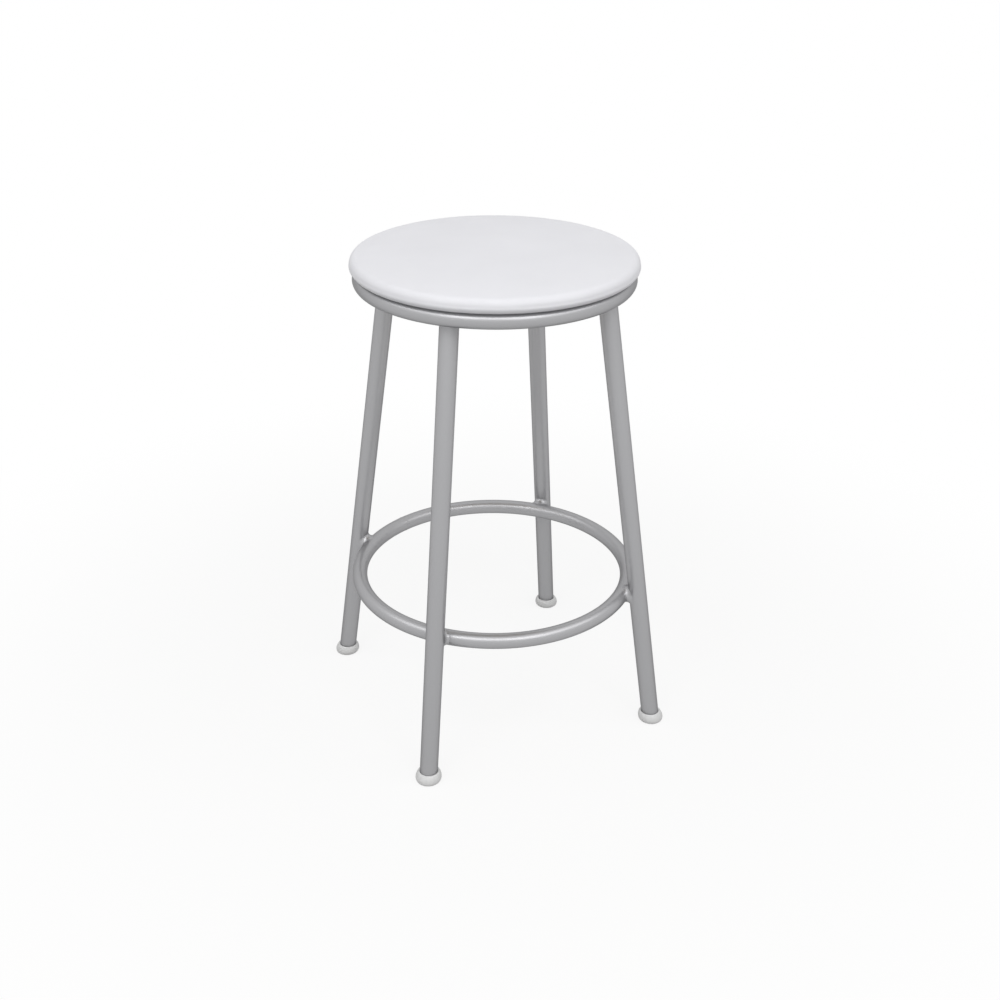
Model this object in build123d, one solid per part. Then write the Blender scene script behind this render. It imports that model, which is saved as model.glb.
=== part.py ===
"""Round upholstered stool: four splayed tube legs with a top ring round them and a foot ring inside them."""

import os
from math import asin, atan2, cos, degrees, hypot, radians, sin, sqrt

from build123d import *

# Seat pad: outer form, from its flat underside to the top of its crown
pad_radius = 170.0
pad_thickness = 24.5
tuck_radius = 7.8
shoulder_radius = 10.5

# Seat pad: layers
cover_thickness = 1.0
cover_return = 24.0
board_thickness = 10.0
foam_lip = 6.0
pad_clearance = 0.2

# Tube frame
leg_diameter = 22.2
leg_wall = 1.5
ring_tube_diameter = 19.0
ring_tube_wall = 1.2
pad_overhang = 3.3
top_ring_height = 576.0
foot_ring_height = 181.0
leg_floor_radius = 221.3
leg_top_gap = 2.0

# Welds: the tubes stand this far apart, and the beads fill the corners round the contact
weld_gap = 0.2
weld_clearance = 0.15
weld_radius = 7.5
tab_weld_radius = 2.6

# Seat tabs inside the top ring
tab_width = 22.0
tab_thickness = 3.0
tab_hole_offset = 20.0
tab_hole_clearance = 0.6
tab_end_inset = 4.5

# Seat screws
screw_diameter = 4.2
screw_length = 11.0
screw_head_diameter = 8.6
screw_head_height = 2.6
screw_head_round = 1.0
pilot_clearance = 0.05
pilot_spare_depth = 0.8

# Cover staples
staple_count = 20
staple_margin = 7.0
staple_crown = 10.0
staple_leg = 6.0
staple_wire_width = 1.2
staple_wire_thickness = 0.7
staple_clearance = 0.05

# Foot caps
cap_radius = 16.3
cap_base_radius = 14.8
cap_rim_radius = 13.4
cap_height = 15.0
cap_bulge_height = 6.0
cap_floor = 4.0
cap_clearance = 0.15
cap_base_round = 2.4
cap_rim_round = 0.8
cap_sole_cut = 0.6

# Places that follow from the sizes above
ring_tube_radius = ring_tube_diameter / 2
leg_radius = leg_diameter / 2
top_ring_radius = pad_radius - pad_overhang - ring_tube_radius
pad_bottom = top_ring_height + ring_tube_radius
pad_top = pad_bottom + pad_thickness
pad_waist = pad_bottom + tuck_radius
tuck_centre = pad_radius - tuck_radius
shoulder_centre = pad_radius - shoulder_radius
crown_rise = pad_top - pad_waist
crown_chord = shoulder_centre**2 + crown_rise**2 - shoulder_radius**2
crown_radius = crown_chord / (2 * (crown_rise - shoulder_radius))
crown_centre = pad_top - crown_radius
crown_edge = degrees(atan2(pad_waist - crown_centre, shoulder_centre))
board_bottom = pad_bottom + cover_thickness
board_top = board_bottom + board_thickness
board_radius = tuck_centre - pad_clearance
return_radius = tuck_centre - cover_return
staple_radius = return_radius + staple_margin
tab_bottom = pad_bottom - tab_thickness
tab_hole_radius = top_ring_radius - ring_tube_radius - tab_hole_offset
tab_end_radius = top_ring_radius - tab_end_inset
leg_top = pad_bottom - leg_top_gap

# The legs lean in until they meet the inside of the top ring
ring_lean = top_ring_radius - leg_floor_radius
tube_spacing = ring_tube_radius + leg_radius + weld_gap
leg_reach = hypot(ring_lean, top_ring_height)
splay = degrees(asin(tube_spacing / leg_reach) + atan2(-ring_lean, top_ring_height))
splay_cos = cos(radians(splay))
splay_sin = sin(radians(splay))
foot_ring_radius = leg_floor_radius - (foot_ring_height * splay_sin + tube_spacing) / splay_cos

# The leg's own frame at the floor, in the X-Z plane: x square to the leg and outwards, z up the leg
leg_frame = Plane(
    origin=(leg_floor_radius, 0, 0),
    x_dir=(splay_cos, 0, splay_sin),
    z_dir=(-splay_sin, 0, splay_cos),
)
cap_base = -cap_sole_cut / splay_cos
leg_start = cap_base + cap_floor
leg_azimuths = {"back_right": 45, "back_left": 135, "front_left": 225, "front_right": 315}
tab_azimuths = {"right": 0, "back": 90, "left": 180, "front": 270}
below = (Align.CENTER, Align.CENTER, Align.MAX)
above = (Align.CENTER, Align.CENTER, Align.MIN)


def on_circle(centre, radius, angle):
    """Point of a circle in a (radius, height) outline."""
    return (centre[0] + radius * cos(radians(angle)), centre[1] + radius * sin(radians(angle)))


def arc(centre, radius, start, end):
    """Arc of a (radius, height) outline between two angles."""
    middle = (start + end) / 2
    return ThreePointArc(*[on_circle(centre, radius, angle) for angle in (start, middle, end)])


def turned(face):
    """Solid turned about Z from a face drawn as (radius, height)."""
    return revolve(Plane.XZ * face, Axis.Z)


def round_the_axis(shape, azimuth):
    return Rot(0, 0, azimuth) * shape


def pad_solid(inset):
    """The pad's form, crowned on top and tucked in below, drawn in all over by an inset."""
    tuck = arc((tuck_centre, pad_waist), tuck_radius - inset, -90, 0)
    shoulder = arc((shoulder_centre, pad_waist), shoulder_radius - inset, 0, crown_edge)
    crown = arc((0, crown_centre), crown_radius - inset, crown_edge, 90)
    underside = Line((0, pad_bottom + inset), tuck @ 0)
    axis = Line(crown @ 1, underside @ 0)
    return turned(make_face([underside, tuck.edge(), shoulder.edge(), crown.edge(), axis]))


def ring_solid(radius, height, tube_radius):
    return Pos(0, 0, height) * Torus(radius, tube_radius)


def leg_solid(radius, start):
    """Round bar along the leg from a distance up its axis to its level-cut top."""
    length = (leg_top + leg_radius) / splay_cos - start
    bar = leg_frame * Pos(0, 0, start) * Cylinder(radius, length, align=above)
    return split(bar, bisect_by=Plane.XY.offset(leg_top), keep=Keep.BOTTOM)


def tube_ring(radius, height):
    outside = ring_solid(radius, height, ring_tube_radius)
    return outside - ring_solid(radius, height, ring_tube_radius - ring_tube_wall)


def tube_leg():
    return leg_solid(leg_radius, leg_start) - leg_solid(leg_radius - leg_wall, leg_start)


def tube_weld(ring_radius, ring_height, side):
    """Bead round the point where a ring meets a leg: side is 1 outside the ring tube, -1 inside it."""
    reach = side * (ring_tube_radius + weld_gap / 2)
    contact = Pos(ring_radius + reach * splay_cos, 0, ring_height + reach * splay_sin)
    bead = contact * Sphere(weld_radius)
    bead -= leg_solid(leg_radius + weld_clearance, leg_start)
    return bead - ring_solid(ring_radius, ring_height, ring_tube_radius + weld_clearance)


def screw_hole(radius, bottom, depth):
    return Pos(tab_hole_radius, 0, bottom) * Cylinder(radius, depth, align=above)


def seat_tab():
    """Flat steel lug with a round end, coped to the inside of the top ring."""
    length = tab_end_radius - tab_hole_radius
    plate = Pos(tab_hole_radius + length / 2, 0) * Rectangle(length, tab_width)
    plate += Pos(tab_hole_radius, 0) * Circle(tab_width / 2)
    tab = Pos(0, 0, tab_bottom) * extrude(plate, tab_thickness)
    tab -= screw_hole(screw_diameter / 2 + tab_hole_clearance, tab_bottom, tab_thickness)
    return tab - ring_solid(top_ring_radius, top_ring_height, ring_tube_radius + weld_clearance)


def tab_weld():
    """Fillet bead along the underside of a tab where it meets the top ring."""
    coped_radius = ring_tube_radius + weld_clearance
    rise = tab_bottom - top_ring_height
    corner = top_ring_radius - sqrt(coped_radius**2 - rise**2)
    span = degrees(tab_width / corner)
    bead = revolve(Plane.XZ * Pos(corner, tab_bottom) * Circle(tab_weld_radius), Axis.Z, span)
    bead = split(round_the_axis(bead, -span / 2), bisect_by=Plane.XY.offset(tab_bottom), keep=Keep.BOTTOM)
    return bead - ring_solid(top_ring_radius, top_ring_height, coped_radius)


def seat_screw():
    """Round-headed screw, driven up through its tab into the board."""
    head = Cylinder(screw_head_diameter / 2, screw_head_height, align=below)
    head = fillet(head.edges().sort_by(Axis.Z)[0], screw_head_round)
    shank = Cylinder(screw_diameter / 2, screw_length, align=above)
    return Pos(tab_hole_radius, 0, tab_bottom) * (head + shank)


def staple_legs(clearance):
    """The two legs of a staple, pushed up from the pad's underside."""
    width = staple_wire_width + 2 * clearance
    depth = staple_wire_thickness + 2 * clearance
    leg = Pos(staple_radius, 0, pad_bottom) * Box(depth, width, staple_leg + clearance, align=above)
    reach = (staple_crown - staple_wire_width) / 2
    return Pos(0, reach, 0) * leg + Pos(0, -reach, 0) * leg


def cover_staple():
    crown = Box(staple_wire_thickness, staple_crown, staple_wire_thickness, align=below)
    return Pos(staple_radius, 0, pad_bottom) * crown + staple_legs(0)


def all_staples(shape):
    """Copies of a shape at every staple, set midway between the tabs and legs."""
    pitch = 360 / staple_count
    return [round_the_axis(shape, pitch * (index + 0.5)) for index in range(staple_count)]


def seat_board():
    board = Pos(0, 0, board_bottom) * Cylinder(board_radius, board_thickness, align=above)
    pilot_depth = tab_bottom + screw_length + pilot_spare_depth - board_bottom
    pilot = screw_hole(screw_diameter / 2 + pilot_clearance, board_bottom, pilot_depth)
    board -= [round_the_axis(pilot, azimuth) for azimuth in tab_azimuths.values()]
    return board - all_staples(staple_legs(staple_clearance))


def seat_foam():
    """Foam sheet on the board, pulled down round the board's edge."""
    foam = pad_solid(cover_thickness + pad_clearance)
    foam -= Pos(0, 0, board_top - foam_lip) * Cylinder(2 * pad_radius, 2 * pad_thickness, align=below)
    return foam - Pos(0, 0, board_top) * Cylinder(board_radius + pad_clearance, pad_thickness, align=below)


def seat_cover():
    """Vinyl skin, folded under the board and open in the middle of the underside."""
    cover = pad_solid(0) - pad_solid(cover_thickness)
    cover -= Pos(0, 0, pad_bottom) * Cylinder(return_radius, 2 * cover_thickness)
    return cover - all_staples(staple_legs(staple_clearance))


def foot_cap():
    """Soft cup pushed on the leg's end, bulged at the side and worn flat where it meets the floor."""
    bore = leg_radius + cap_clearance
    side = ThreePointArc((cap_base_radius, 0), (cap_radius, cap_bulge_height), (cap_rim_radius, cap_height))
    inside = Polyline(side @ 1, (bore, cap_height), (bore, cap_floor), (0, cap_floor), (0, 0), side @ 0)
    profile = make_face([side.edge(), *inside.edges()])
    profile = fillet(profile.vertices().group_by(Axis.Y)[0].sort_by(Axis.X)[-1], cap_base_round)
    profile = fillet(profile.vertices().group_by(Axis.Y)[-1], cap_rim_round)
    cap = leg_frame * Pos(0, 0, cap_base) * turned(profile)
    return split(cap, bisect_by=Plane.XY, keep=Keep.TOP)


def group(solids):
    return Compound(children=solids)


def build_parts():
    leg = tube_leg()
    cap = foot_cap()
    top_weld = tube_weld(top_ring_radius, top_ring_height, -1)
    foot_weld = tube_weld(foot_ring_radius, foot_ring_height, 1)
    tab = seat_tab()
    parts = {
        "seat_cover": seat_cover(),
        "seat_foam": seat_foam(),
        "seat_board": seat_board(),
        "cover_staples": group(all_staples(cover_staple())),
        "seat_screws": group([round_the_axis(seat_screw(), azimuth) for azimuth in tab_azimuths.values()]),
        "tab_welds": group([round_the_axis(tab_weld(), azimuth) for azimuth in tab_azimuths.values()]),
        "top_ring": tube_ring(top_ring_radius, top_ring_height),
        "foot_ring": tube_ring(foot_ring_radius, foot_ring_height),
    }
    for side, azimuth in tab_azimuths.items():
        parts["seat_tab_" + side] = round_the_axis(tab, azimuth)
    for corner, azimuth in leg_azimuths.items():
        parts["leg_" + corner] = round_the_axis(leg, azimuth)
        parts["foot_cap_" + corner] = round_the_axis(cap, azimuth)
        parts["top_weld_" + corner] = round_the_axis(top_weld, azimuth)
        parts["foot_weld_" + corner] = round_the_axis(foot_weld, azimuth)
    return parts


os.makedirs("parts", exist_ok=True)
for name, shape in build_parts().items():
    export_step(shape, "parts/" + name + ".step")
print("splay", round(splay, 2), "ring radii", round(top_ring_radius, 2), round(foot_ring_radius, 2))
print("overall height", round(pad_top, 2), "crown radius", round(crown_radius, 1))
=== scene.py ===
from math import atan, cos, degrees, hypot, pi, radians, sin, sqrt
import bmesh
import bpy
from mathutils import Euler, Matrix, Vector


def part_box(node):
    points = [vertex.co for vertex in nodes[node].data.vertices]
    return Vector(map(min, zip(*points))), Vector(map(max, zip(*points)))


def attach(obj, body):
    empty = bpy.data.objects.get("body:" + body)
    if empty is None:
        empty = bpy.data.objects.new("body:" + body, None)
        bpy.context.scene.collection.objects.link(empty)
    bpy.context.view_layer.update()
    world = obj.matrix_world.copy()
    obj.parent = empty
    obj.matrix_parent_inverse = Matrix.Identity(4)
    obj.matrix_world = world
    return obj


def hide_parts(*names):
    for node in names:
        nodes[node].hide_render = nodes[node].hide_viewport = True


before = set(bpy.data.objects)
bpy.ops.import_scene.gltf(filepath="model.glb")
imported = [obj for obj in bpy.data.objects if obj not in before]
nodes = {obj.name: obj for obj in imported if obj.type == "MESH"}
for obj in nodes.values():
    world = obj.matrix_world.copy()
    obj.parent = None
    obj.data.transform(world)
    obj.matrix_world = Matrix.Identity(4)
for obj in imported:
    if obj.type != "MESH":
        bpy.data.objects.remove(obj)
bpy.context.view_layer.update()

mm = 0.001
up = Vector((0, 0, 1))
print("frame loaded:", len(nodes), "nodes")


# helpers

def letGo():
    if bpy.context.mode != "OBJECT":
        bpy.ops.object.mode_set(mode="OBJECT")
    bpy.ops.object.select_all(action="DESELECT")


def takeUp(piece):
    letGo()
    piece.select_set(True)
    bpy.context.view_layer.objects.active = piece


def discard(piece):
    bpy.data.objects.remove(piece, do_unlink=True)


def added(name):  # names what an operator has just added, and puts its place into its mesh
    piece = bpy.context.object
    piece.name = piece.data.name = name
    bpy.ops.object.transform_apply(location=True, rotation=True, scale=True)
    return piece


def addRod(name, sides, radius, length, middle, lean=(0, 0, 0)):
    letGo()
    bpy.ops.mesh.primitive_cylinder_add(vertices=sides, radius=radius, depth=length, location=middle,
                                        rotation=lean)
    return added(name)


def addTorus(name, around, section, radius, tube, height):
    letGo()
    bpy.ops.mesh.primitive_torus_add(major_segments=around, minor_segments=section, major_radius=radius,
                                     minor_radius=tube, location=(0, 0, height))
    return added(name)


def addBlock(name, size, middle, turn):
    letGo()
    bpy.ops.mesh.primitive_cube_add(size=1, location=middle, rotation=(0, 0, radians(turn)), scale=size)
    return added(name)


def everything(element):
    return True


def isDisc(face):  # a round face, not one of the quads beside it
    return len(face.verts) > 4


def pick(piece, kind, test):  # edit mode, with only the faces, edges or verts that pass the test selected
    bpy.ops.object.mode_set(mode="EDIT")
    bpy.ops.mesh.select_mode(type={"faces": "FACE", "edges": "EDGE", "verts": "VERT"}[kind])
    bpy.ops.mesh.select_all(action="DESELECT")
    mesh = bmesh.from_edit_mesh(piece.data)
    for element in getattr(mesh, kind):
        if test(element):
            element.select_set(True)
    bmesh.update_edit_mesh(piece.data)


def stackUp(name, sides, outline, middleAt):  # a disc extruded ring by ring, left in edit mode on its last face
    radius, level = outline[0]
    letGo()
    bpy.ops.mesh.primitive_circle_add(vertices=sides, radius=radius, fill_type="NGON", location=middleAt(level))
    piece = added(name)
    pick(piece, "faces", everything)
    for nextRadius, nextLevel in outline[1:]:
        rise = middleAt(nextLevel) - middleAt(level)
        bpy.ops.mesh.extrude_region_move(TRANSFORM_OT_translate={"value": rise})
        size = nextRadius / radius
        bpy.ops.transform.resize(value=(size, size, 1), center_override=middleAt(nextLevel))
        radius, level = nextRadius, nextLevel
    return piece


def finishMesh(piece, kind, **settings):  # adds a modifier and applies it
    takeUp(piece)
    modifier = piece.modifiers.new(kind, kind)
    for key, value in settings.items():
        setattr(modifier, key, value)
    bpy.ops.object.modifier_apply(modifier=modifier.name)


def boolean(piece, tool, operation):  # uses the tool up
    finishMesh(piece, "BOOLEAN", operation=operation, object=tool, solver="EXACT")
    discard(tool)


def outwards(piece, merge=0.01 * mm):  # merges points that coincide and turns all faces outwards
    takeUp(piece)
    bpy.ops.object.mode_set(mode="EDIT")
    bpy.ops.mesh.select_all(action="SELECT")
    bpy.ops.mesh.remove_doubles(threshold=merge)
    bpy.ops.mesh.normals_make_consistent(inside=False)
    bpy.ops.object.mode_set(mode="OBJECT")


def keepLargest(piece):  # drops the crumbs that a cut has left beside the piece
    name = piece.name
    takeUp(piece)
    bpy.ops.mesh.separate(type="LOOSE")
    parts = sorted(bpy.context.selected_objects, key=lambda part: len(part.data.polygons))
    for crumb in parts[:-1]:
        discard(crumb)
    parts[-1].name = parts[-1].data.name = name
    return parts[-1]


def smooth(piece, angle=35):
    takeUp(piece)
    bpy.ops.object.shade_smooth_by_angle(angle=radians(angle))


def repeatRound(piece, count):  # copies within the piece's own mesh, round the seat's axis
    takeUp(piece)
    bpy.ops.object.mode_set(mode="EDIT")
    bpy.ops.mesh.select_all(action="SELECT")
    bpy.ops.mesh.spin(steps=count - 1, dupli=True, angle=radians(360 - 360 / count), center=(0, 0, 0), axis=up)
    bpy.ops.object.mode_set(mode="OBJECT")
    outwards(piece)
    smooth(piece)


def turnedCopy(piece, name, turn):  # a copy with a mesh of its own, turned round the seat's axis
    takeUp(piece)
    bpy.ops.object.duplicate(linked=False)
    copy = bpy.context.object
    copy.rotation_euler.z = radians(turn)
    return added(name)


def dress(piece, material, slotName, *replaced):
    piece.data.materials.clear()
    piece.data.materials.append(material)
    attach(piece, "root")
    if replaced:
        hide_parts(*replaced)


# materials

def linear(hexColour):
    channels = [int(hexColour[i:i + 2], 16) / 255 for i in (0, 2, 4)]
    return [c / 12.92 if c <= 0.04045 else ((c + 0.055) / 1.055) ** 2.4 for c in channels] + [1]


def feed(tree, node, inputs):  # links the sockets and sets the plain values
    for key, value in inputs.items():
        if isinstance(value, bpy.types.NodeSocket):
            tree.links.new(value, node.inputs[key])
        else:
            node.inputs[key].default_value = value


def addNode(tree, kind, inputs=None, **settings):
    node = tree.nodes.new("ShaderNode" + kind)
    for key, value in settings.items():
        setattr(node, key, value)
    feed(tree, node, inputs or {})
    return node


def noise(tree, place, sizeMm, detail, roughness=0.5):
    inputs = {"Vector": place, "Scale": 1 / (sizeMm * mm), "Detail": detail, "Roughness": roughness}
    return addNode(tree, "TexNoise", inputs).outputs["Fac"]


def blend(tree, share, first, second):  # from the first colour to the second
    return addNode(tree, "Mix", {0: share, 6: first, 7: second}, data_type="RGBA").outputs[2]


def spread(tree, value, low, high, fromLow=0, fromHigh=1, curve="LINEAR"):  # maps one range to another
    inputs = {"Value": value, "From Min": fromLow, "From Max": fromHigh, "To Min": low, "To Max": high}
    return addNode(tree, "MapRange", inputs, interpolation_type=curve).outputs[0]


def combine(tree, operation, first, second):
    return addNode(tree, "Math", {0: first, 1: second}, operation=operation).outputs[0]


def relief(tree, height, depth, strength):
    return addNode(tree, "Bump", {"Height": height, "Strength": strength, "Distance": depth}).outputs["Normal"]


def newMaterial(name):
    material = bpy.data.materials.new(name)
    material.use_nodes = True
    tree = material.node_tree
    shader = tree.nodes["Principled BSDF"]
    place = addNode(tree, "TexCoord").outputs["Object"]
    return material, tree, shader, place


# Silver lacquer: aluminium flake in a clear binder, sprayed on steel tube and left satin.
# The eye gets an even mid grey with soft wide highlights, a faint sparkle and a slight orange peel.
# Real flakes are 0.03 mm, drawn coarser so that they show. They lie flat, so the paint darkens at grazing angles.
paintLook = {"dark": "A8A8AA", "light": "B2B2B4", "metallic": 0.64, "grazing": 0.22, "roughness": (0.31, 0.39),
             "flakeMm": 0.9, "flakeDetail": 3, "flakeContrast": 0.7,
             "peelMm": 3.5, "peelDetail": 2, "peelDepth": 0.03 * mm, "peelStrength": 0.5}
silverPaint, tree, shader, place = newMaterial("silverLacquer")
flake = noise(tree, place, paintLook["flakeMm"], paintLook["flakeDetail"], paintLook["flakeContrast"])
peel = noise(tree, place, paintLook["peelMm"], paintLook["peelDetail"])
feed(tree, shader, {
    "Base Color": blend(tree, flake, linear(paintLook["dark"]), linear(paintLook["light"])),
    "Roughness": spread(tree, flake, *paintLook["roughness"]),
    "Normal": relief(tree, peel, paintLook["peelDepth"], paintLook["peelStrength"]),
    "Metallic": paintLook["metallic"],
    "Specular Tint": [paintLook["grazing"]] * 3 + [1]})

# Upholstery vinyl: soft plasticised sheet on a knitted back, calendered with a fine shallow grain.
# The eye gets a bright, nearly even white with a low sheen that shows only where a lamp glances off it.
vinylLook = {"white": "EBEBEF", "shade": "E4E4E8", "ior": 1.52, "roughness": (0.62, 0.52),
             "cloudMm": 70, "cloudDetail": 3,
             "grainMm": 1.3, "creaseWidth": 0.12, "grainDepth": 0.06 * mm, "grainStrength": 0.4}
whiteVinyl, tree, shader, place = newMaterial("whiteVinyl")
cloud = noise(tree, place, vinylLook["cloudMm"], vinylLook["cloudDetail"])
cells = {"Vector": place, "Scale": 1 / (vinylLook["grainMm"] * mm)}
grain = addNode(tree, "TexVoronoi", cells, feature="DISTANCE_TO_EDGE").outputs["Distance"]
crease = spread(tree, grain, 0, 1, fromHigh=vinylLook["creaseWidth"])
feed(tree, shader, {
    "Base Color": blend(tree, cloud, linear(vinylLook["shade"]), linear(vinylLook["white"])),
    "Roughness": spread(tree, crease, *vinylLook["roughness"]),
    "Normal": relief(tree, crease, vinylLook["grainDepth"], vinylLook["grainStrength"]),
    "IOR": vinylLook["ior"]})

# Moulded polyethylene: the soft pale plastic of push-on feet, from an etched tool.
# The eye gets a light grey, slightly waxy, with dust and rub marks low down.
capLook = {"pale": "DFDFDF", "dull": "D5D5D5", "rub": "BEBDBB", "ior": 1.51, "roughness": 0.5,
           "rubHeight": 3.5 * mm, "rubShare": 0.7,
           "speckMm": 2.2, "speckDetail": 4, "speckDepth": 0.04 * mm, "speckStrength": 0.3}
capPlastic, tree, shader, place = newMaterial("paleMouldedPlastic")
speck = noise(tree, place, capLook["speckMm"], capLook["speckDetail"])
height = addNode(tree, "SeparateXYZ", {"Vector": place}).outputs["Z"]
low = spread(tree, height, capLook["rubShare"], 0, fromHigh=capLook["rubHeight"])
clean = blend(tree, speck, linear(capLook["dull"]), linear(capLook["pale"]))
feed(tree, shader, {
    "Base Color": blend(tree, combine(tree, "MULTIPLY", low, speck), clean, linear(capLook["rub"])),
    "Roughness": capLook["roughness"],
    "Normal": relief(tree, speck, capLook["speckDepth"], capLook["speckStrength"]),
    "IOR": capLook["ior"]})

# Plywood: rotary-cut birch face, sawn and unfinished on the hidden side.
# The eye gets a dry tan with long soft grain streaks and short darker pores.
plyLook = {"tan": "D9BD90", "brown": "B8935F", "roughness": 0.75, "streak": 14, "tones": (0.12, 0.4),
           "grainMm": 6, "grainDetail": 5, "grainContrast": 0.6, "poreMm": 1.6, "poreDetail": 2,
           "depth": 0.1 * mm, "strength": 0.5}
plywood, tree, shader, place = newMaterial("birchPlywood")
stretched = addNode(tree, "Mapping", {"Vector": place, "Scale": (1 / plyLook["streak"], 1, 1)}).outputs[0]
grain = noise(tree, stretched, plyLook["grainMm"], plyLook["grainDetail"], plyLook["grainContrast"])
pores = noise(tree, stretched, plyLook["poreMm"], plyLook["poreDetail"])
streaks = combine(tree, "MULTIPLY", grain, pores)
tone = spread(tree, streaks, 0, 1, *plyLook["tones"])
feed(tree, shader, {
    "Base Color": blend(tree, tone, linear(plyLook["brown"]), linear(plyLook["tan"])),
    "Roughness": plyLook["roughness"],
    "Normal": relief(tree, streaks, plyLook["depth"], plyLook["strength"])})

# Zinc-plated steel: bright passivated screws and staples.
# The eye gets a cool metal shine, blotched by the plating's crystals.
zincLook = {"bright": "C9CDD2", "dull": "A9ADB4", "roughness": (0.25, 0.45), "blotchMm": 1.5, "blotchDetail": 4}
zincSteel, tree, shader, place = newMaterial("zincPlatedSteel")
blotch = noise(tree, place, zincLook["blotchMm"], zincLook["blotchDetail"])
feed(tree, shader, {
    "Base Color": blend(tree, blotch, linear(zincLook["dull"]), linear(zincLook["bright"])),
    "Roughness": spread(tree, blotch, *zincLook["roughness"]),
    "Metallic": 1})
print("materials made")


# the frame's own lines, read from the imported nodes

corners = {"back_right": 45, "back_left": 135, "front_left": 225, "front_right": 315}
firstCorner = "back_right"
firstAzimuth = corners[firstCorner]


def middleOf(points):
    low = Vector([min(p[i] for p in points) for i in range(3)])
    high = Vector([max(p[i] for p in points) for i in range(3)])
    return (low + high) / 2


def levelLine(azimuth):  # a level direction away from the seat's axis
    return Vector((cos(radians(azimuth)), sin(radians(azimuth)), 0))


def tubeRing(node):  # radius of the ring's centre line, its height and the tube's radius
    low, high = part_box(node)
    tube = (high.z - low.z) / 2
    return (high.x - low.x) / 2 - tube, (low.z + high.z) / 2, tube


def dressCorners(piece, stem, material, slotName, nodeStem):  # the first piece and its three turned copies
    for corner, azimuth in corners.items():
        here = piece if corner == firstCorner else turnedCopy(piece, stem + corner, azimuth - firstAzimuth)
        dress(here, material, slotName, nodeStem + corner)


legPoints = [v.co.copy() for v in nodes["leg_" + firstCorner].data.vertices]
legLow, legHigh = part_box("leg_" + firstCorner)
legHalf = (legLow.z + legHigh.z) / 2
legFoot = middleOf([p for p in legPoints if p.z < legHalf])
legHead = middleOf([p for p in legPoints if p.z > legHalf])
legLine = (legHead - legFoot).normalized()
legRadius = max(((p - legFoot) - legLine * (p - legFoot).dot(legLine)).length for p in legPoints)
legLean = legLine.to_track_quat("Z", "Y").to_euler()
print("leg radius mm", round(legRadius / mm, 2), "lean", round(degrees(legLine.angle(up)), 2))


# legs: round tube, cut level at the top, open at both ends

legs = {"sides": 72, "wall": 1.5 * mm, "rimAngle": 60, "rimRound": 0.35 * mm, "rimSegments": 2, "endFacing": 0.9}


def isEnd(face):
    return abs(face.normal.dot(legLine)) > legs["endFacing"]


length = (legHead - legFoot).length + 2 * legRadius  # with some to spare above the cut
leg = addRod("leg_tube_" + firstCorner, legs["sides"], legRadius, length, legFoot + legLine * length / 2, legLean)
pick(leg, "faces", everything)
bpy.ops.mesh.bisect(plane_co=(0, 0, legHigh.z), plane_no=up, use_fill=True, clear_outer=True)
pick(leg, "faces", isEnd)
bpy.ops.mesh.inset(thickness=legs["wall"], use_individual=True)
pick(leg, "faces", lambda f: isEnd(f) and isDisc(f))
bpy.ops.mesh.bridge_edge_loops()
pick(leg, "edges", lambda e: not e.is_boundary and e.calc_face_angle(0) > radians(legs["rimAngle"]))
bpy.ops.mesh.bevel(offset=legs["rimRound"], segments=legs["rimSegments"], affect="EDGES")
outwards(leg)
smooth(leg)
dressCorners(leg, "leg_tube_", silverPaint, "silver_paint", "leg_")
print("legs made")


# rings: rolled tube, closed with a butt weld that was ground nearly flush

rings = {"around": 192, "section": 48, "smooth": 60, "seamAt": {"top_ring": 68, "foot_ring": 112},
         "seamWidth": 3.2 * mm, "seamProud": 0.22 * mm, "seamCuts": (-1, -0.35, 0.35, 1), "seamMiddle": 0.4}


def makeRing(name, node):
    radius, height, tube = tubeRing(node)
    ring = addTorus(name, rings["around"], rings["section"], radius, tube, height)
    outer, along = levelLine(rings["seamAt"][node]), levelLine(rings["seamAt"][node] + 90)
    halfWidth = rings["seamWidth"] / 2
    # cut the tube either side of the weld, then swell the band between the cuts
    for side in rings["seamCuts"]:
        pick(ring, "faces", lambda f: f.calc_center_median().dot(outer) > 0)
        bpy.ops.mesh.bisect(plane_co=outer * radius + along * side * halfWidth, plane_no=along)
    band = rings["seamMiddle"] * halfWidth
    pick(ring, "verts", lambda v: v.co.dot(outer) > 0 and abs(v.co.dot(along)) < band)
    size = 1 + rings["seamProud"] / tube
    bpy.ops.transform.resize(value=(size, size, size), center_override=outer * radius + up * height)
    bpy.ops.object.mode_set(mode="OBJECT")
    outwards(ring)
    smooth(ring, rings["smooth"])
    return ring


for name, node in (("seat_ring_tube", "top_ring"), ("foot_ring_tube", "foot_ring")):
    dress(makeRing(name, node), silverPaint, "silver_paint", node)
print("rings made")


# welds: beads that fill the corners round the point where a ring touches a leg

welds = {"drop": 11.3 * mm, "sink": 0.2 * mm, "length": 48 * mm, "rodSides": 64, "ballSides": 48, "ballRings": 24,
         "voxel": 0.8 * mm, "blend": 110, "settle": 3, "relax": 0.5, "ripple": 0.6 * mm, "rippleMm": 2.6,
         "reach": 14 * mm, "bite": 0.7 * mm, "cutSides": 96, "cutLength": 100 * mm, "cutAround": 256,
         "cutSection": 64, "trim": 0.25 * mm, "trimMerge": 0.001 * mm, "fine": 0.5 * mm, "smooth": 80}
rippleTexture = bpy.data.textures.new("weldRipple", "CLOUDS")
rippleTexture.noise_scale = welds["rippleMm"] * mm


def addBall(name, radius, middle):
    letGo()
    bpy.ops.mesh.primitive_uv_sphere_add(segments=welds["ballSides"], ring_count=welds["ballRings"], radius=radius,
                                         location=middle)
    return added(name)


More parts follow.
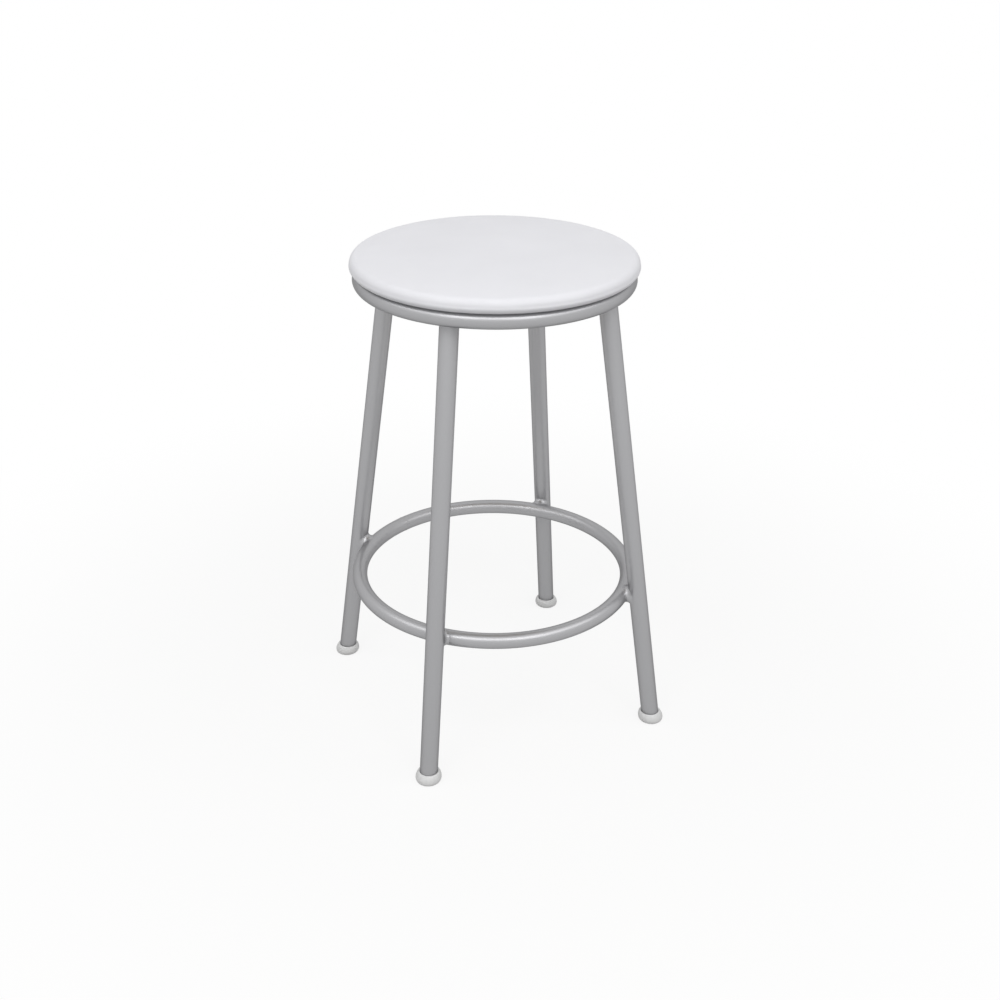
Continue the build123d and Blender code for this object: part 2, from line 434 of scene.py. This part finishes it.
def makeWeld(name, radius, height, tube):
    onRing = levelLine(firstAzimuth) * radius + up * height
    onLeg = legFoot + legLine * (onRing - legFoot).dot(legLine)
    contact = onRing + (onLeg - onRing).normalized() * tube
    ringLine = levelLine(firstAzimuth + 90).to_track_quat("Z", "Y").to_euler()
    # run a drop of metal into both tubes, and let it flow out over them
    bead = addRod(name, welds["rodSides"], legRadius - welds["sink"], welds["length"], onLeg, legLean)
    ringCore = addRod("ringCore", welds["rodSides"], tube - welds["sink"], welds["length"], onRing, ringLine)
    drop = addBall("drop", welds["drop"], contact)
    for part in (ringCore, drop):
        boolean(bead, part, "UNION")
    finishMesh(bead, "REMESH", mode="VOXEL", voxel_size=welds["voxel"])
    finishMesh(bead, "SMOOTH", factor=welds["relax"], iterations=welds["blend"])
    finishMesh(bead, "DISPLACE", texture=rippleTexture, texture_coords="LOCAL", strength=welds["ripple"])
    finishMesh(bead, "SMOOTH", factor=welds["relax"], iterations=welds["settle"])
    # keep only the metal that stands proud of the tubes, with a bite into their walls
    boolean(bead, addBall("limit", welds["reach"], contact), "INTERSECT")
    legBore, ringBore = legRadius - welds["bite"], tube - welds["bite"]
    legCutter = addRod("legCutter", welds["cutSides"], legBore, welds["cutLength"], onLeg, legLean)
    boolean(bead, legCutter, "DIFFERENCE")
    ringCutter = addTorus("ringCutter", welds["cutAround"], welds["cutSection"], radius, ringBore, height)
    boolean(bead, ringCutter, "DIFFERENCE")
    pick(bead, "faces", everything)
    bpy.ops.mesh.bisect(plane_co=(0, 0, legHigh.z - welds["trim"]), plane_no=up, use_fill=True, clear_outer=True,
                        threshold=welds["trimMerge"])
    bpy.ops.object.mode_set(mode="OBJECT")
    finishMesh(bead, "REMESH", mode="VOXEL", voxel_size=welds["fine"])
    bead = keepLargest(bead)
    outwards(bead)
    smooth(bead, welds["smooth"])
    print(name, "faces", len(bead.data.polygons))
    return bead


for where in ("top", "foot"):
    bead = makeWeld(where + "_bead_" + firstCorner, *tubeRing(where + "_ring"))
    dressCorners(bead, where + "_bead_", silverPaint, "silver_paint", where + "_weld_")
print("weld beads made")


# foot caps: a bulged cup pushed on the leg, level at the rim and the sole

caps = {"sides": 72, "bore": 11.15 * mm, "floor": 1.7 * mm, "rounds": 1, "smooth": 40,
        "outlineMm": [(11, 0), (13, 0), (14.7, 1), (15.7, 2.7), (16.1, 5), (15.9, 7), (15.4, 8.9), (14.6, 10.7),
                      (13.7, 12.1), (12.8, 12.9), (12.1, 13.1), (11.4, 13)]}


def capMiddle(height):  # the leg's centre line at a height above the floor
    return legFoot + legLine * ((height - legFoot.z) / legLine.z)


def makeCap(name):
    outline = [(radius * mm, height * mm) for radius, height in caps["outlineMm"]]
    cap = stackUp(name, caps["sides"], outline, capMiddle)
    rimRadius, rimHeight = outline[-1]
    bpy.ops.mesh.inset(thickness=rimRadius - caps["bore"])
    inside = capMiddle(caps["floor"]) - capMiddle(rimHeight)
    bpy.ops.mesh.extrude_region_move(TRANSFORM_OT_translate={"value": inside})
    bpy.ops.object.mode_set(mode="OBJECT")
    outwards(cap)
    finishMesh(cap, "SUBSURF", levels=caps["rounds"], render_levels=caps["rounds"])
    smooth(cap, caps["smooth"])
    return cap


dressCorners(makeCap("foot_cup_" + firstCorner), "foot_cup_", capPlastic, "cap_plastic", "foot_cap_")
print("foot caps made")


# seat pad: foam and vinyl, swelled by a cloth simulation and drawn in at the staples

pad = {"sides": 96, "slack": 0.8 * mm, "bulge": 1 * mm, "tuck": 8.8 * mm, "shoulder": 10.2 * mm,
       "returnWidth": 23 * mm, "hem": 6 * mm, "hemSteps": 4, "tuckStep": 15, "slackFrom": -60, "shoulderSteps": 8,
       "ringStep": 8 * mm, "middle": 48 * mm, "gridEdge": 1 * mm, "rounds": 2,
       "heldBelow": 2 * mm, "quality": 6, "mass": 0.4, "stiffness": 25, "bending": 3, "pressure": 4.0,
       "frames": 20, "mostMove": 0.8 * mm,
       "pull": 0.6, "pullChange": 0.4, "pullWaves": (3, 5), "pullPhase": 1, "pullFrom": 5 * mm,
       "pucker": 0.3 * mm, "puckers": 40, "puckerTop": 1 * mm,
       "pleat": 0.5 * mm, "pleats": 72, "pleatHeight": 1.5 * mm, "pleatEdge": 10 * mm, "pleatFade": 8 * mm,
       "openSides": 160, "openHeight": 6 * mm, "openDrop": 0.2 * mm, "merge": 0.05 * mm, "smooth": 50}
coverLow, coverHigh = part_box("seat_cover")
padRadius = (coverHigh.x - coverLow.x) / 2 + pad["bulge"]
padBottom, padTop = coverLow.z, coverHigh.z
waist = padBottom + pad["tuck"]
returnRadius = padRadius - pad["bulge"] - pad["tuck"] - pad["returnWidth"]
rise, reach = padTop - waist, padRadius - pad["shoulder"]
crown = (reach ** 2 + rise ** 2 - pad["shoulder"] ** 2) / (2 * (rise - pad["shoulder"]))  # radius of the domed top
crownBase = padTop - crown


def crownHeight(radius):
    return crownBase + sqrt((crown - pad["slack"]) ** 2 - radius ** 2)


def padOutline():  # (radius, height) from the underside round the edge to the dome, drawn in by the slack
    inner, fold = returnRadius - pad["hem"], padRadius - pad["tuck"]
    points = [(inner + (fold - inner) * step / pad["hemSteps"], padBottom) for step in range(pad["hemSteps"])]
    for angle in range(-90, 0, pad["tuckStep"]):
        size = pad["tuck"] - pad["slack"] * max(0, 1 - angle / pad["slackFrom"])  # the underside isn't drawn in
        points.append((fold + size * cos(radians(angle)), waist + size * sin(radians(angle))))
    edge = atan((waist - crownBase) / reach)
    size = pad["shoulder"] - pad["slack"]
    for step in range(pad["shoulderSteps"] + 1):
        angle = edge * step / pad["shoulderSteps"]
        points.append((reach + size * cos(angle), waist + size * sin(angle)))
    radius = reach - pad["ringStep"]
    while radius > pad["middle"]:
        points.append((radius, crownHeight(radius)))
        radius -= pad["ringStep"]
    return points


def makePad(name):  # rings along the outline, with a grid in the middle of the top
    outline = padOutline()
    seat = stackUp(name, pad["sides"], outline, lambda height: up * height)
    pick(seat, "faces", lambda f: isDisc(f) and f.calc_center_median().z > waist)
    bpy.ops.mesh.delete(type="ONLY_FACE")
    pick(seat, "edges", lambda e: e.is_boundary and e.verts[0].co.z > waist)
    bpy.ops.mesh.fill_grid(span=pad["sides"] // 4)
    bpy.ops.object.mode_set(mode="OBJECT")
    gridRadius = outline[-1][0] - pad["gridEdge"]
    for vertex in seat.data.vertices:
        radius = hypot(vertex.co.x, vertex.co.y)
        if vertex.co.z > waist and radius < gridRadius:
            vertex.co.z = crownHeight(radius)
    outwards(seat)
    return seat


def swell(seat):  # foam pushes the cover out, while the stapled underside stays where it is
    held = seat.vertex_groups.new(name="held")
    held.add([v.index for v in seat.data.vertices if v.co.z < waist - pad["heldBelow"]], 1, "REPLACE")
    before = [v.co.copy() for v in seat.data.vertices]
    takeUp(seat)
    cloth = seat.modifiers.new("cover", "CLOTH")
    cloth.settings.quality = pad["quality"]
    cloth.settings.mass = pad["mass"]
    cloth.settings.tension_stiffness = cloth.settings.compression_stiffness = pad["stiffness"]
    cloth.settings.bending_stiffness = pad["bending"]
    cloth.settings.use_pressure = True
    cloth.settings.uniform_pressure_force = pad["pressure"]
    cloth.settings.effector_weights.gravity = 0
    cloth.settings.vertex_group_mass = "held"
    cloth.collision_settings.use_collision = False
    cloth.point_cache.frame_end = pad["frames"]
    scene = bpy.context.scene
    for step in range(1, pad["frames"] + 1):
        scene.frame_set(step)
    bpy.ops.object.modifier_apply(modifier=cloth.name)
    most = 0
    for vertex, start in zip(seat.data.vertices, before):
        move = vertex.co - start
        most = max(most, move.length)
        if move.length > pad["mostMove"]:
            vertex.co = start + move.normalized() * pad["mostMove"]
    scene.frame_set(1)
    print("cover swelled, most mm", round(most / mm, 2))


def clamp(share):
    return max(0, min(1, share))


def gather(seat):  # pulls towards each staple, as puckers low on the side and pleats underneath
    slow, fast = pad["pullWaves"]
    for vertex in seat.data.vertices:
        x, y, z = vertex.co
        radius = hypot(x, y)
        if radius < returnRadius - pad["pullFrom"]:
            continue
        angle = Vector((x, y)).angle_signed(Vector((1, 0)))
        # some staples pull harder than others
        pull = pad["pull"] + pad["pullChange"] * sin(slow * angle + pad["pullPhase"]) * sin(fast * angle)
        side = clamp((waist + pad["puckerTop"] - z) / (waist - padBottom))
        under = clamp((padBottom + pad["pleatHeight"] - z) / pad["pleatHeight"])
        under *= clamp((padRadius - pad["pleatEdge"] - radius) / pad["pleatFade"])
        inward = pad["pucker"] * pull * side * (1 + cos(pad["puckers"] * angle)) / 2
        vertex.co -= Vector((x, y, 0)).normalized() * inward
        vertex.co.z += pad["pleat"] * pull * under * (1 + sin(pad["pleats"] * angle)) / 2


seatPad = makePad("seat_pad")
swell(seatPad)
finishMesh(seatPad, "SUBSURF", levels=pad["rounds"], render_levels=pad["rounds"])
gather(seatPad)
# open the underside inside the folded edge of the cover, down to the board
openMiddle = (0, 0, padBottom - pad["openDrop"])
boolean(seatPad, addRod("opening", pad["openSides"], returnRadius, pad["openHeight"], openMiddle), "DIFFERENCE")
outwards(seatPad, pad["merge"])
smooth(seatPad, pad["smooth"])
dress(seatPad, whiteVinyl, "white_vinyl", "seat_cover", "seat_foam")
print("seat pad made:", len(seatPad.data.polygons), "faces")


# screws: pan heads with a cross recess

screws = {"count": 4, "sides": 48, "head": 4.3 * mm, "headHeight": 2.6 * mm, "round": 1.0 * mm, "roundSegments": 4,
          "nearBottom": 0.1 * mm, "slotLength": 4.4 * mm, "slotWidth": 1.0 * mm, "slotDepth": 1.5 * mm,
          "slotTurns": (20, 110)}
screwLow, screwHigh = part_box("seat_screws")
headBottom = screwLow.z
screwRadius = screwHigh.x - screws["head"]
headMiddle = (screwRadius, 0, headBottom + screws["headHeight"] / 2)
screw = addRod("seat_screw_heads", screws["sides"], screws["head"], screws["headHeight"], headMiddle)
pick(screw, "edges", lambda e: all(v.co.z < headBottom + screws["nearBottom"] for v in e.verts))
bpy.ops.mesh.bevel(offset=screws["round"], segments=screws["roundSegments"], affect="EDGES")
bpy.ops.object.mode_set(mode="OBJECT")
slotSize = (screws["slotLength"], screws["slotWidth"], 2 * screws["slotDepth"])
for turn in screws["slotTurns"]:
    boolean(screw, addBlock("slotCutter", slotSize, (screwRadius, 0, headBottom), turn), "DIFFERENCE")
repeatRound(screw, screws["count"])
dress(screw, zincSteel, "bare_steel", "seat_screws")
print("screws made")


# staples: flat wire crowns along the folded edge

staples = {"count": 20, "crown": 10 * mm, "wire": 0.7 * mm, "height": 0.84 * mm, "edge": 0.2 * mm,
           "edgeSegments": 2, "skew": 6, "fromFold": 7 * mm}
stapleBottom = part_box("cover_staples")[0].z
stapleMiddle = (returnRadius + staples["fromFold"], 0, stapleBottom + staples["height"] / 2)
stapleSize = (staples["wire"], staples["crown"], staples["height"])
staple = addBlock("cover_staple_crowns", stapleSize, stapleMiddle, staples["skew"])
pick(staple, "edges", everything)
bpy.ops.mesh.bevel(offset=staples["edge"], segments=staples["edgeSegments"], affect="EDGES")
bpy.ops.mesh.select_all(action="SELECT")
halfStep = radians(180 / staples["count"])
bpy.ops.transform.rotate(value=-halfStep, orient_axis="Z", center_override=(0, 0, 0))
repeatRound(staple, staples["count"])
dress(staple, zincSteel, "bare_steel", "cover_staples")
print("staples made")


# the nodes that stay as they are

for node, piece in nodes.items():
    if piece.hide_render:
        continue
    piece.data.materials.clear()
    piece.data.materials.append(plywood if node == "seat_board" else silverPaint)
print("kept nodes:", [n for n, o in nodes.items() if not o.hide_render])


# floor, light and camera

stage = {"floor": "F2F2F1", "bounce": "AAAAA9", "white": (1, 1, 1, 1), "floorSize": 40,
         "glowNear": 0.84, "near": 0.3, "far": 1.1, "fill": 0.42}


def inSight(tree):  # 1 for what the camera sees, directly, in a reflection or through a clear piece
    sight = addNode(tree, "LightPath").outputs
    seen = combine(tree, "MAXIMUM", sight["Is Camera Ray"], sight["Is Glossy Ray"])
    return combine(tree, "MAXIMUM", seen, sight["Is Transmission Ray"])


def awayTo(azimuth, elevation):  # from the stool, with azimuth 0 at the front
    side, lift = radians(azimuth), radians(elevation)
    return Vector((sin(side) * cos(lift), -cos(side) * cos(lift), sin(lift)))


letGo()
bpy.ops.mesh.primitive_plane_add(size=stage["floorSize"], location=(0, 0, 0))
floor = added("floor")
floorPaint, tree, shader, place = newMaterial("paleFloor")
tree.nodes.remove(shader)
seen = inSight(tree)
pale = blend(tree, seen, linear(stage["bounce"]), linear(stage["floor"]))
matt = addNode(tree, "BsdfDiffuse", {"Color": pale}).outputs[0]
glow = addNode(tree, "Emission", {"Color": stage["white"], "Strength": 1}).outputs[0]
distance = addNode(tree, "VectorMath", {0: place}, operation="LENGTH").outputs["Value"]
fade = spread(tree, distance, stage["glowNear"], 1, stage["near"], stage["far"], "SMOOTHSTEP")
mixed = addNode(tree, "MixShader", {0: combine(tree, "MULTIPLY", seen, fade), 1: matt, 2: glow}).outputs[0]
feed(tree, tree.nodes["Material Output"], {"Surface": mixed})
floor.data.materials.append(floorPaint)

world = bpy.data.worlds.new("studio")
bpy.context.scene.world = world
world.use_nodes = True
tree = world.node_tree
strength = spread(tree, inSight(tree), stage["fill"], 1)
feed(tree, tree.nodes["Background"], {"Color": stage["white"], "Strength": strength})

lamps = {"front": {"azimuth": -24, "elevation": 50, "power": 48, "width": 4.2, "height": 1.8},
         "left": {"azimuth": -86, "elevation": 49, "power": 35, "width": 4.2, "height": 1.8},
         "right": {"azimuth": 38, "elevation": 49, "power": 37, "width": 4.2, "height": 1.8},
         "low": {"azimuth": -24, "elevation": 12, "power": 24, "width": 6, "height": 2.6}}
lampDistance, lampAim = 4, Vector((0, 0, 0.4))
for name, lamp in lamps.items():
    back = awayTo(lamp["azimuth"], lamp["elevation"])
    bpy.ops.object.light_add(type="AREA", location=lampAim + back * lampDistance,
                             rotation=back.to_track_quat("Z", "Y").to_euler())
    light = bpy.context.object
    light.name = light.data.name = name + "_lamp"
    light.visible_camera = False
    light.visible_glossy = name != "low"  # the low fill leaves no streak on the tubes
    light.data.shape = "RECTANGLE"
    light.data.size = lamp["width"]
    light.data.size_y = lamp["height"]
    light.data.energy = lamp["power"]

view = {"azimuth": -24.06, "elevation": 27.19, "roll": 0.22, "distance": 1.7148, "aim": 0.2804,
        "sensor": 36, "lens": 48.6, "shift": 0.0061}
facing = Euler((pi / 2 - radians(view["elevation"]), 0, radians(view["azimuth"]))).to_matrix()
facing = facing @ Matrix.Rotation(radians(view["roll"]), 3, "Z")
eye = up * view["aim"] + awayTo(view["azimuth"], view["elevation"]) * view["distance"]
bpy.ops.object.camera_add(location=eye, rotation=facing.to_euler())
camera = bpy.context.object
camera.data.sensor_width = view["sensor"]
camera.data.lens = view["lens"]
camera.data.shift_x = view["shift"]
bpy.context.scene.camera = camera
bpy.context.scene.view_settings.view_transform = "Standard"
print("stage, lamps and camera set")
